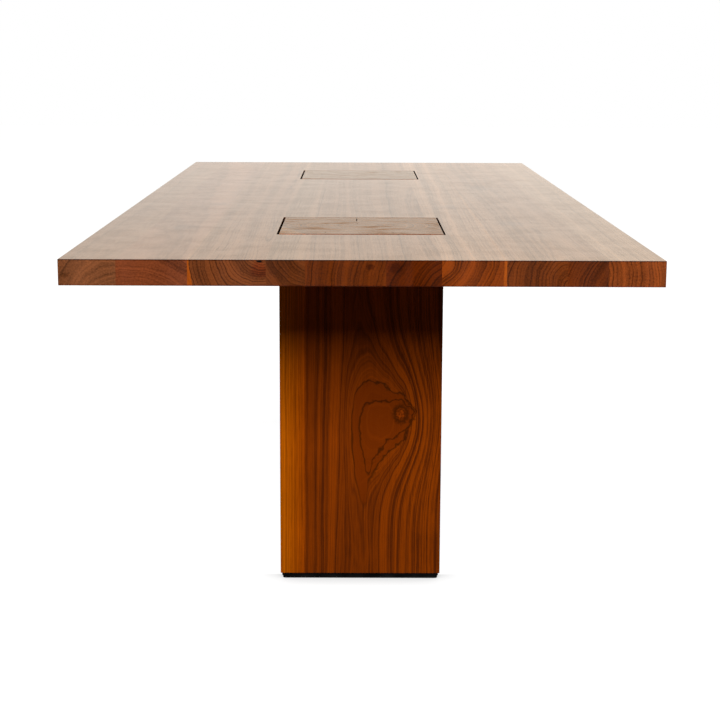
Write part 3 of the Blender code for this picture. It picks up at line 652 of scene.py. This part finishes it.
# %% Describe the staves
STAVES = {
    1: dict(pith=(0.120, -0.050), ring=6, lines=0.20, bands=0.45, face="#835a34", end="#714327"),
    2: dict(pith=(0.000, -0.280), ring=5, lines=0.20, bands=0.60, face="#875a34", end="#70381d"),
    3: dict(pith=(0.128, 0.050), ring=5, lines=0.62, bands=0.60, face="#83572c", end="#623317"),
    4: dict(pith=(0.100, 0.090), ring=5, lines=0.35, bands=0.60, face="#835a30", end="#572b11"),
    5: dict(pith=(0.300, 0.030), ring=7, lines=0.50, bands=0.60, face="#81562b", end="#552405"),
    6: dict(pith=(0.140, -0.050), ring=6, lines=0.45, bands=0.90, face="#82572c", end="#4a1b02"),
    7: dict(pith=(-0.045, 0.060), ring=6, lines=0.50, bands=0.80, face="#936a44", end="#6c2f08"),
    8: dict(pith=(0.110, -0.005), ring=8, lines=0.50, bands=0.75, face="#8b623c", end="#5e2c0e"),
    9: dict(pith=(0.250, -0.100), ring=6, lines=0.60, bands=0.42, face="#8c643f", end="#5b280b"),
    10: dict(pith=(-0.160, 0.020), ring=7, lines=0.50, bands=0.50, face="#997553", end="#7c3c16"),
}
STAVE_SHARES = ((0.42, 0.40, 0.38), (1.62, 1.52, 1.45))
STAVE_WOOD = dict(along=(0.0, 1.0, 0.0), pigment=22 * MM, fineness=0.70, pores=0.60, speckle=0.60,
                  clouds=0.60, sway=0.045, ripple=0.008, contrast=(0.70, 1.35), unshaded_from=0.85,
                  gloss=(0.085, 0.05), relief=(0.015, 0.5), matt=(0.0, 0.04),
                  shares=(STAVE_SHARES, STAVE_SHARES))
LEAN_ASIDE, LEAN_UP = 0.006, 0.008
ASIDE_TURN, UP_TURN = 2.1, 1.3
print("ring widths in mm:", {number: grain["ring"] for number, grain in STAVES.items()})

# %% Place their stains and sapwood
near_end, far_end = cad_low.y, cad_high.y
underside, top_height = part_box("stave_1")[0].z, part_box("stave_1")[1].z
STAVE_STAINS = {
    1: [((-0.537, near_end, underside + 0.019), (0.010, 0.05, 0.005), (0.72, 0.68, 0.60))],
    2: [((-0.345, -0.223, top_height), (0.026, 0.055, 0.02), (0.82, 0.80, 0.78)),
        ((-0.376, -0.753, top_height), (0.026, 0.050, 0.02), (0.82, 0.80, 0.78))],
    3: [((-0.186, near_end, underside + 0.030), (0.016, 0.03, 0.016), (1.0, 0.72, 0.60)),
        # The second patch is the pith's small hole, painted near black as its shade.
        ((-0.186, near_end, underside + 0.0452), (0.0062, 0.01, 0.0026), (0.03, 0.03, 0.03))],
    5: [((0.014, near_end, underside + 0.0355), (0.008, 0.03, 0.006), (0.50, 0.45, 0.42))],
    6: [((0.060, near_end, underside + 0.034), (0.013, 0.03, 0.010), (0.62, 0.58, 0.60))],
    7: [((0.209, -0.28, top_height), (0.026, 0.055, 0.02), (0.80, 0.78, 0.76))],
    8: [((0.331, 0.278, top_height), (0.026, 0.075, 0.02), (0.78, 0.76, 0.74)),
        ((0.326, -0.66, top_height), (0.036, 0.05, 0.02), (0.82, 0.80, 0.78))],
}
WHOLE_WIDTH = 9.0
# Painted shade along the top's near end: a dark line at its upper arris and a dark band at its lower
# one.
ARRIS_PAINTED_SHADE = [((0.0, near_end, top_height), (WHOLE_WIDTH, 0.004, 2.2 * MM), (0.42, 0.38, 0.36)),
                ((0.0, near_end, underside), (WHOLE_WIDTH, 0.02, 2.4 * MM), (0.80, 0.62, 0.55))]
STAVE_SAP = {
    3: dict(start=(-0.3113, 0.0, underside + 0.024), toward=(-1.0, 0.0, -0.15)),
    7: dict(start=(0.2568, 0.0, underside + 0.024), toward=(1.0, 0.0, -0.04)),
}
SAP_WOOD = dict(wave=1.5 * MM, soft=1.0 * MM, shadow=1.0, contrast=0.6, face="#9b6c3e", end="#964810")
print("stained staves:", sorted(STAVE_STAINS), "staves with sapwood:", sorted(STAVE_SAP))

# %% Finish the staves
def stave_pieces(number):
    """The names of a stave's pieces: one, or three where the pedestals interrupt it."""
    return sorted(name for name in nodes if name.split("_")[:2] == ["stave", str(number)])


stave_finishes = {}
for number, grain in STAVES.items():
    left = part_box(stave_pieces(number)[0])[0].x
    across, up = grain["pith"]
    timber = dict(STAVE_WOOD, seed=number, marks=[stains],
                  stains=STAVE_STAINS.get(number, []) + ARRIS_PAINTED_SHADE,
                  lean=(LEAN_ASIDE * math.sin(number * ASIDE_TURN), 0.0,
                        LEAN_UP * math.cos(number * UP_TURN)))
    timber.update(grain, pith=(left + across, 0.0, underside + up), ring=grain["ring"] * MM)
    if number in STAVE_SAP:
        timber.update(sap=dict(SAP_WOOD, **STAVE_SAP[number]), marks=[sapwood, stains])
    stave_finishes[number] = oiled_walnut(f"oiled_walnut_stave_{number}", timber)
print("stave finishes:", len(stave_finishes))

# %% [markdown]
# The boards of the top
#
# The frame's staves keep a hair's breadth between them, as separate solids. On the real table
# the glue closes each joint, so the boards are built again here, edge to edge. A board is its
# outline, drawn out to the thickness of the top. Its rim is eased wherever it is free, at the
# edge of the table and round the pedestals, and left sharp in the glue joints.

# %% Read the top's layout from the frame
EASE = 1.0 * MM
EASE_STEPS = 3
LEFT_OF_PEDESTALS = 3

rows = {number: [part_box(name) for name in stave_pieces(number)] for number in STAVES}
edges = [cad_low.x]
for number in list(STAVES)[:-1]:
    right = max(high.x for low, high in rows[number])
    following = min(low.x for low, high in rows[number + 1])
    edges.append((right + following) / 2)
edges.append(cad_high.x)
mouths = [(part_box("stave_5_near")[1].y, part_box("stave_5_middle")[0].y),
          (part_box("stave_5_middle")[1].y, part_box("stave_5_far")[0].y)]
block_low, block_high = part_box("pedestal_near")
clearance = block_low.x - edges[LEFT_OF_PEDESTALS]
mouth_right = block_high.x + clearance
print("glue joints at", [round(edge, 4) for edge in edges])
print("cut-outs from", mouths, "clearance", round(clearance, 4))

# %% Build one board
def board(name, outline, free_sides):
    """A board of the top from its anticlockwise outline, eased along its free sides."""
    made = bmesh.new()
    low_ring = [made.verts.new((x, y, underside)) for x, y in outline]
    high_ring = [made.verts.new((x, y, top_height)) for x, y in outline]
    count = len(outline)
    made.faces.new(high_ring)
    made.faces.new(low_ring[::-1])
    for side in range(count):
        after = (side + 1) % count
        made.faces.new((low_ring[side], low_ring[after], high_ring[after], high_ring[side]))
    rims = []
    for side in free_sides:
        after = (side + 1) % count
        rims += [made.edges.get((ring[side], ring[after])) for ring in (low_ring, high_ring)]
    for corner in range(count):
        if corner in free_sides and (corner - 1) % count in free_sides:
            rims.append(made.edges.get((low_ring[corner], high_ring[corner])))
    bmesh.ops.bevel(made, geom=rims, offset=EASE, segments=EASE_STEPS, profile=0.5, affect="EDGES")
    mesh = bpy.data.meshes.new(name)
    made.to_mesh(mesh)
    made.free()
    mesh.shade_flat()
    return show(name, mesh)


# %% Lay the ten staves
def stave_outlines(number):
    """The outline of each piece of a stave, with the sides that are free."""
    left, right = edges[number - 1], edges[number]
    if len(stave_pieces(number)) == 3:
        ends = {"near": (near_end, mouths[0][0]), "middle": (mouths[0][1], mouths[1][0]),
                "far": (mouths[1][1], far_end)}
        return {f"stave_{number}_{part}": ([(left, y0), (right, y0), (right, y1), (left, y1)], [0, 2])
                for part, (y0, y1) in ends.items()}
    free, outline = [0], [(left, near_end), (right, near_end)]
    if number == len(STAVES):
        free.append(1)
    if number == LEFT_OF_PEDESTALS:
        for y0, y1 in mouths:
            outline.append((right, y0))
            free.append(len(outline) - 1)
            outline.append((right, y1))
    outline.append((right, far_end))
    free.append(len(outline) - 1)
    outline.append((left, far_end))
    if left < mouth_right < right:
        for y0, y1 in reversed(mouths):
            first = len(outline)
            outline += [(left, y1), (mouth_right, y1), (mouth_right, y0), (left, y0)]
            free += [first, first + 1, first + 2]
    if number == 1:
        free.append(len(outline) - 1)
    return {f"stave_{number}": (outline, free)}


for number in STAVES:
    for node, (outline, free) in stave_outlines(number).items():
        piece = board(node + "_board", outline, free)
        dress(piece, stave_finishes[number])
        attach(piece, "root")
        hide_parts(node)
print("boards:", sum(len(stave_pieces(number)) for number in STAVES))

# %% [markdown]
# The pedestals
#
# Each pedestal is one heavy baulk with the heart of the tree inside it, which is why the end grain
# in the top has drying checks that run to the pith. The near one has more to show on its front
# face. A branch once grew out there, and the rings sweep round it on the right. Its swelling is a
# smooth hump taken off the distance from the pith, so that the ring lines, which are lines of
# equal distance, go round it by themselves.

# %% Swell the rings round the branch
BRANCH_MIDDLE, BRANCH_REACH, BRANCH_HEIGHT = (0.098, 0.350), (0.085, 0.125), 33 * MM


def branch_swelling(tree, place, distance, timber):
    """Takes the branch's hump off the distance from the pith."""
    axes = add(tree, "SeparateXYZ", {0: place})
    depth = add(tree, "MapRange", {"Value": axes.outputs["Y"], "From Min": timber["pith"][1],
                                   "From Max": front_face})
    level = 0.0
    for axis, middle, reach in zip("XZ", BRANCH_MIDDLE, BRANCH_REACH):
        away = add(tree, "Math", {0: axes.outputs[axis], 1: middle}, operation="SUBTRACT")
        away = add(tree, "Math", {0: away, 1: reach}, operation="DIVIDE")
        away = add(tree, "Math", {0: away, 1: 2.0}, operation="POWER")
        level = add(tree, "Math", {0: level, 1: away}, operation="SUBTRACT")
    hump = add(tree, "Math", {0: level}, operation="EXPONENT")
    hump = add(tree, "Math", {0: hump, 1: depth}, operation="MULTIPLY")
    return add(tree, "Math", {0: hump, 1: -BRANCH_HEIGHT, 2: distance}, operation="MULTIPLY_ADD")


print("the branch pushes the rings", BRANCH_HEIGHT, "m aside")

# %% [markdown]
# The saw also cut through two closed rings beside the branch. Each is a loop round a middle, drawn
# to a point at the foot, and its reach at each turn is a curve of a few knots, in millimetres. The
# first turn points to the right and the next ones go up and over.

# %% Draw a loop
LOOPS = (
    ((0.0029, 0.3051), ((0, 88), (0.038, 97), (0.061, 114), (0.088, 128), (0.132, 128), (0.179, 122),
                        (0.195, 126), (0.237, 126), (0.256, 116), (0.272, 102), (0.30, 65), (0.388, 28),
                        (0.45, 22), (0.50, 21), (0.60, 26), (0.676, 41), (0.725, 87), (0.745, 121),
                        (0.755, 141), (0.765, 121), (0.773, 92), (0.808, 71), (0.85, 60), (0.891, 57),
                        (0.934, 64), (0.988, 80), (1, 88))),
    ((0.0217, 0.3268), ((0, 72), (0.023, 84), (0.048, 88), (0.074, 96), (0.101, 93), (0.13, 89),
                        (0.149, 81), (0.159, 71), (0.188, 65), (0.224, 63), (0.274, 59), (0.299, 53),
                        (0.321, 45), (0.387, 32), (0.45, 26), (0.50, 24), (0.59, 28), (0.672, 43),
                        (0.725, 74), (0.739, 93), (0.754, 71), (0.781, 56), (0.836, 45), (0.906, 42),
                        (0.94, 50), (0.97, 57), (1, 72))),
)
LOOP_LIMIT = 150


def outside_loop(tree, axes, middle, shape):
    """Metres from a loop of the front face, below zero inside it."""
    right, up = [add(tree, "Math", {0: axes.outputs[axis], 1: start}, operation="SUBTRACT")
                 for axis, start in zip("XZ", middle)]
    turn = add(tree, "Math", {0: up, 1: right}, operation="ARCTAN2")
    turn = add(tree, "Math", {0: turn, 1: 1 / (2 * math.pi), 2: 1.0}, operation="MULTIPLY_ADD")
    turn = add(tree, "Math", {0: turn}, operation="FRACT")
    curve = add(tree, "FloatCurve", {"Value": turn})
    knots = curve.mapping.curves[0].points
    for knot, (at, reach) in zip(knots, (shape[0], shape[-1])):
        knot.location = (at, reach / LOOP_LIMIT)
    for at, reach in shape[1:-1]:
        knots.new(at, reach / LOOP_LIMIT)
    for knot in knots:
        knot.handle_type = "AUTO_CLAMPED"
    curve.mapping.update()
    reach = add(tree, "Math", {0: curve, 1: -LOOP_LIMIT * MM}, operation="MULTIPLY")
    radius = add(tree, "CombineXYZ", {0: right, 1: up})
    radius = add(tree, "VectorMath", {0: radius}, operation="LENGTH")
    return add(tree, "Math", {0: radius, 1: reach}, operation="ADD")


print("loops:", len(LOOPS), "with", [len(shape) for middle, shape in LOOPS], "knots")

# %% [markdown]
# The knot itself sits at the head of the inner loop: a small ragged ring round a core with dark
# spots, and pale wood between them. One noise frays the ring and spots the core.

# %% Draw the knot
KNOT_MIDDLE, KNOT_HALF = (0.0841, front_face, 0.3615), (0.013, 0.05, 0.016)
SPOT_SIZE, SPOT_RAGGED = 5 * MM, 0.8
RIM_AT, RIM_WIDTH = 1.4, 0.60
SPOT_START, SPOT_FULL, SPOT_SHARE = 0.45, 0.62, 0.7
PALE_FULL, PALE_GONE = 0.9, 1.2
PALE_START, PALE_DEEP = 0.55, 0.42
KNOT_PALE = (1.5, 1.5, 2.0, 1.0)


def knot_figure(tree, place):
    """Where the knot's ring and spots are dark, and where the wood between them is pale."""
    spots = add(tree, "TexNoise", {"Vector": place, "Scale": 1 / SPOT_SIZE, "Detail": 1.0})
    away = patch_distance(tree, place, KNOT_MIDDLE, KNOT_HALF)
    away = add(tree, "Math", {0: spots, 1: SPOT_RAGGED, 2: away}, operation="MULTIPLY_ADD")
    rim = add(tree, "Math", {0: away, 1: RIM_AT}, operation="SUBTRACT")
    rim = add(tree, "Math", {0: rim}, operation="ABSOLUTE")
    rim = add(tree, "MapRange", {"Value": rim, "From Max": RIM_WIDTH, **FALLING})
    core = add(tree, "Math", {0: away, 1: RIM_AT}, operation="LESS_THAN")
    spotted = add(tree, "MapRange", {"Value": spots, "From Min": SPOT_START, "From Max": SPOT_FULL,
                                     "To Max": SPOT_SHARE})
    core = add(tree, "Math", {0: core, 1: spotted}, operation="MULTIPLY")
    dark = add(tree, "Math", {0: rim, 1: core}, operation="MAXIMUM")
    inner = add(tree, "MapRange", {"Value": away, "From Min": PALE_FULL, "From Max": PALE_GONE,
                                   **FALLING})
    pale = add(tree, "MapRange", {"Value": spots, "From Min": PALE_START, "From Max": PALE_DEEP})
    return dark, add(tree, "Math", {0: inner, 1: pale}, operation="MULTIPLY")


print("knot at", [round(value, 3) for value in KNOT_MIDDLE])

# %% [markdown]
# Now the whole figure comes together on the front face. The wood inside the loops is calm, and the
# streaks right of the branch are lively. The loops' dark outlines are smooth on the left, frayed
# along the top and down the right, and wider and fainter toward the tip.

# %% Draw the branch's figure
FIGURE_FULL, FIGURE_GONE = front_face + 20 * MM, front_face + 60 * MM
LIVELY_START, LIVELY_FULL = 0.060, 0.115
FRAY_LENGTH, FRAY_REACH = 12 * MM, 20 * MM
FRAY_START, FRAY_FULL = -0.015, 0.020
LINE_WIDTH, TIP_WIDTH, LINE_SHARE = 4.2 * MM, 10.92 * MM, (0.38, 0.46, 0.85)
WIDE_BELOW, SLIM_ABOVE = 0.17, 0.28
FAINT_BELOW, CLEAR_ABOVE, FAINT_SHARE = 0.16, 0.25, 0.35
CALM_EDGE = 4 * MM


def branch_figure(tree, place, colour, tone, is_end, timber):
    """Lively streaks, calm wood inside the loops, their dark outlines, and the knot."""
    axes = add(tree, "SeparateXYZ", {0: place})
    right, depth, up = [axes.outputs[axis] for axis in "XYZ"]
    shown = add(tree, "MapRange", {"Value": depth, "From Min": FIGURE_FULL, "From Max": FIGURE_GONE,
                                   **FALLING})
    shown = add(tree, "Math", {0: shown, 1: is_end}, operation="SUBTRACT", use_clamp=True)
    calm, lively = [shade(tree, mid, tone, contrast, timber["shares"][0])
                    for mid, contrast in timber["moods"]]
    aside = add(tree, "MapRange", {"Value": right, "From Min": LIVELY_START, "From Max": LIVELY_FULL})
    aside = add(tree, "Math", {0: aside, 1: shown}, operation="MULTIPLY")
    colour = add(tree, "Mix", {"Factor": aside, "A": colour, "B": lively}, **COLOUR)
    fray = add(tree, "TexNoise", {"Vector": place, "Scale": 1 / FRAY_LENGTH, "Detail": 1.0})
    fray = add(tree, "Math", {0: fray, 1: FRAY_REACH, 2: -FRAY_REACH / 2}, operation="MULTIPLY_ADD")
    frayed = add(tree, "MapRange", {"Value": right, "From Min": FRAY_START, "From Max": FRAY_FULL})
    fray = add(tree, "Math", {0: fray, 1: frayed}, operation="MULTIPLY")
    width = add(tree, "MapRange", {"Value": up, "From Min": WIDE_BELOW, "From Max": SLIM_ABOVE,
                                   "To Min": TIP_WIDTH, "To Max": LINE_WIDTH})
    faint = add(tree, "MapRange", {"Value": up, "From Min": FAINT_BELOW, "From Max": CLEAR_ABOVE,
                                   "To Min": FAINT_SHARE})
    dark, pale = knot_figure(tree, place)
    for middle, shape in LOOPS:
        out = add(tree, "Math", {0: outside_loop(tree, axes, middle, shape), 1: fray}, operation="ADD")
        inside = add(tree, "MapRange", {"Value": out, "From Min": -CALM_EDGE, "From Max": CALM_EDGE,
                                        **FALLING})
        inside = add(tree, "Math", {0: inside, 1: shown}, operation="MULTIPLY")
        colour = add(tree, "Mix", {"Factor": inside, "A": colour, "B": calm}, **COLOUR)
        off_line = add(tree, "Math", {0: out}, operation="ABSOLUTE")
        line = add(tree, "MapRange", {"Value": off_line, "From Max": width, "To Min": faint,
                                      "To Max": 0.0}, **SMOOTH)
        dark = add(tree, "Math", {0: line, 1: dark}, operation="MAXIMUM")
    dark = add(tree, "Math", {0: dark, 1: shown}, operation="MULTIPLY")
    colour = add(tree, "Mix", {"Factor": pale, "A": colour, "B": KNOT_PALE}, **TINT)
    return add(tree, "Mix", {"Factor": dark, "A": colour, "B": (*LINE_SHARE, 1.0)}, **TINT)


print("loop lines", LINE_WIDTH, "m wide, frayed over", FRAY_LENGTH, "m")

# %% [markdown]
# One corner of the near baulk reaches the sapwood, so its front face has a golden strip down the
# left side. The far baulk gets the same wood from another tree, without the branch.

# %% Finish the pedestals
BAULK_SHARES = ((0.60, 0.62, 1.20), (1.95, 1.95, 0.50))
BAULK_ENDS = {"near": ("#805931", 0.016), "far": ("#806243", 0.042)}
BAULK_SEEDS = {"near": 31, "far": 47}
HEART_ASIDE, HEART_BACK = -7 * MM, 6.5 * MM
BAULK_WOOD = dict(along=(0.0, 0.0, 1.0), lean=(0.0, 0.0, 0.0), ring=3.6 * MM, lines=0.24,
                  pigment=6.5 * MM, bands=1.12, fineness=0.80, pores=0.80, speckle=0.30, clouds=0.30,
                  sway=0.018, ripple=0.004, face="#692a05", contrast=(1.0, 0.9), unshaded_from=0.45,
                  moods=(("#662703", 0.25), ("#6a2b05", 1.8)), relief=(0.8, 0.01),
                  matt=(0.30, 0.04), shares=(BAULK_SHARES, STAVE_SHARES), marks=[])
BAULK_SAP = dict(start=(-0.119, front_face, 0.3), toward=(-0.94, -0.34, 0.006), wave=5 * MM,
                 soft=5 * MM, shadow=0.85, contrast=0.9, face="#8d3c01", end="#8a6238")

for side, (end_colour, end_gloss) in BAULK_ENDS.items():
    low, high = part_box(f"pedestal_{side}")
    centre = (low + high) / 2
    timber = dict(BAULK_WOOD, seed=BAULK_SEEDS[side], end=end_colour, gloss=(0.02, end_gloss),
                  pith=(centre.x + HEART_ASIDE, centre.y + HEART_BACK, 0.0), front=low.y)
    if side == "near":
        timber.update(swelling=branch_swelling, marks=[branch_figure, sapwood], sap=BAULK_SAP)
    dress(nodes[f"pedestal_{side}"], oiled_walnut(f"oiled_walnut_baulk_{side}", timber))
print("pedestals finished:", list(BAULK_ENDS))

# %% [markdown]
# Metal and rubber
#
# The plates and angles are powder coated: a matt black skin, 0.1 mm thick, that is baked on and
# keeps a faint orange peel. The screws are zinc plated, bright and a little uneven in tint. The
# pads are black rubber. Each coat is drawn from two shades, one slow noise for tint and wear, and
# one fine noise for its texture. A dielectric's IOR is the typical one, about 1.5, and a low
# specular level keeps the shaded band under the pedestal as black as it is in the portrait.

# %% Coat the metal and the rubber
COATS = {
    "black_powder_coated_steel": dict(shades=("#040405", "#0e0e10"), rough=(0.46, 0.62), metal=0.0,
                                      ior=1.50, level=0.04, texture=0.9 * MM, depth=0.03 * MM),
    "zinc_plated_steel": dict(shades=("#9ea4aa", "#cbc8bc"), rough=(0.24, 0.42), metal=1.0,
                              ior=1.50, level=0.50, texture=0.5 * MM, depth=0.01 * MM),
    "black_rubber": dict(shades=("#0a0a0a", "#1c1b19"), rough=(0.74, 0.95), metal=0.0,
                         ior=1.52, level=0.10, texture=1.5 * MM, depth=0.05 * MM),
}
TINT_LENGTH = 35 * MM
FRESH_TINT, WORN_TINT = 0.35, 0.70
GRAIN_SHARE = 0.4


def coat(name, look):
    """An even coat with a drifting tint, a fine texture and a little wear."""
    material, tree = start_material(name)
    place = add(tree, "TexCoord").outputs["Object"]
    tint = add(tree, "TexNoise", {"Vector": place, "Scale": 1 / TINT_LENGTH, "Detail": 4.0})
    grain = add(tree, "TexNoise", {"Vector": place, "Scale": 1 / look["texture"], "Detail": 1.0})
    wear = add(tree, "MapRange", {"Value": tint, "From Min": FRESH_TINT, "From Max": WORN_TINT})
    mottled = add(tree, "Math", {0: grain, 1: GRAIN_SHARE, 2: wear}, operation="MULTIPLY_ADD")
    mottled = add(tree, "Math", {0: mottled, 1: GRAIN_SHARE / 2}, operation="SUBTRACT", use_clamp=True)
    dark, light = [linear(colour) for colour in look["shades"]]
    colour = add(tree, "Mix", {"Factor": mottled, "A": dark, "B": light}, **COLOUR)
    smooth, matt = look["rough"]
    rough = add(tree, "MapRange", {"Value": mottled, "To Min": matt, "To Max": smooth})
    bump = add(tree, "Bump", {"Height": grain, "Strength": 1.0, "Distance": look["depth"]})
    surface = add(tree, "BsdfPrincipled", {"Base Color": colour, "Roughness": rough,
                                           "Metallic": look["metal"], "IOR": look["ior"],
                                           "Specular IOR Level": look["level"], "Normal": bump})
    add(tree, "OutputMaterial", {"Surface": surface})
    return material


coats = {name: coat(name, look) for name, look in COATS.items()}
COATED = (("_screw_", "zinc_plated_steel"), ("foot_pad", "black_rubber"),
          ("angle", "black_powder_coated_steel"), ("base_plate", "black_powder_coated_steel"))
counts = dict.fromkeys(COATS, 0)
for name, node in nodes.items():
    if name.startswith(("stave", "pedestal")):
        continue
    finish = next(finish for part, finish in COATED if part in name)
    dress(node, coats[finish])
    counts[finish] += 1
print("coated:", counts)

# %% [markdown]
# Measure and finish

# %% Write the sizes
low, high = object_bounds()
print("visual size:", [round(side, 4) for side in high - low])
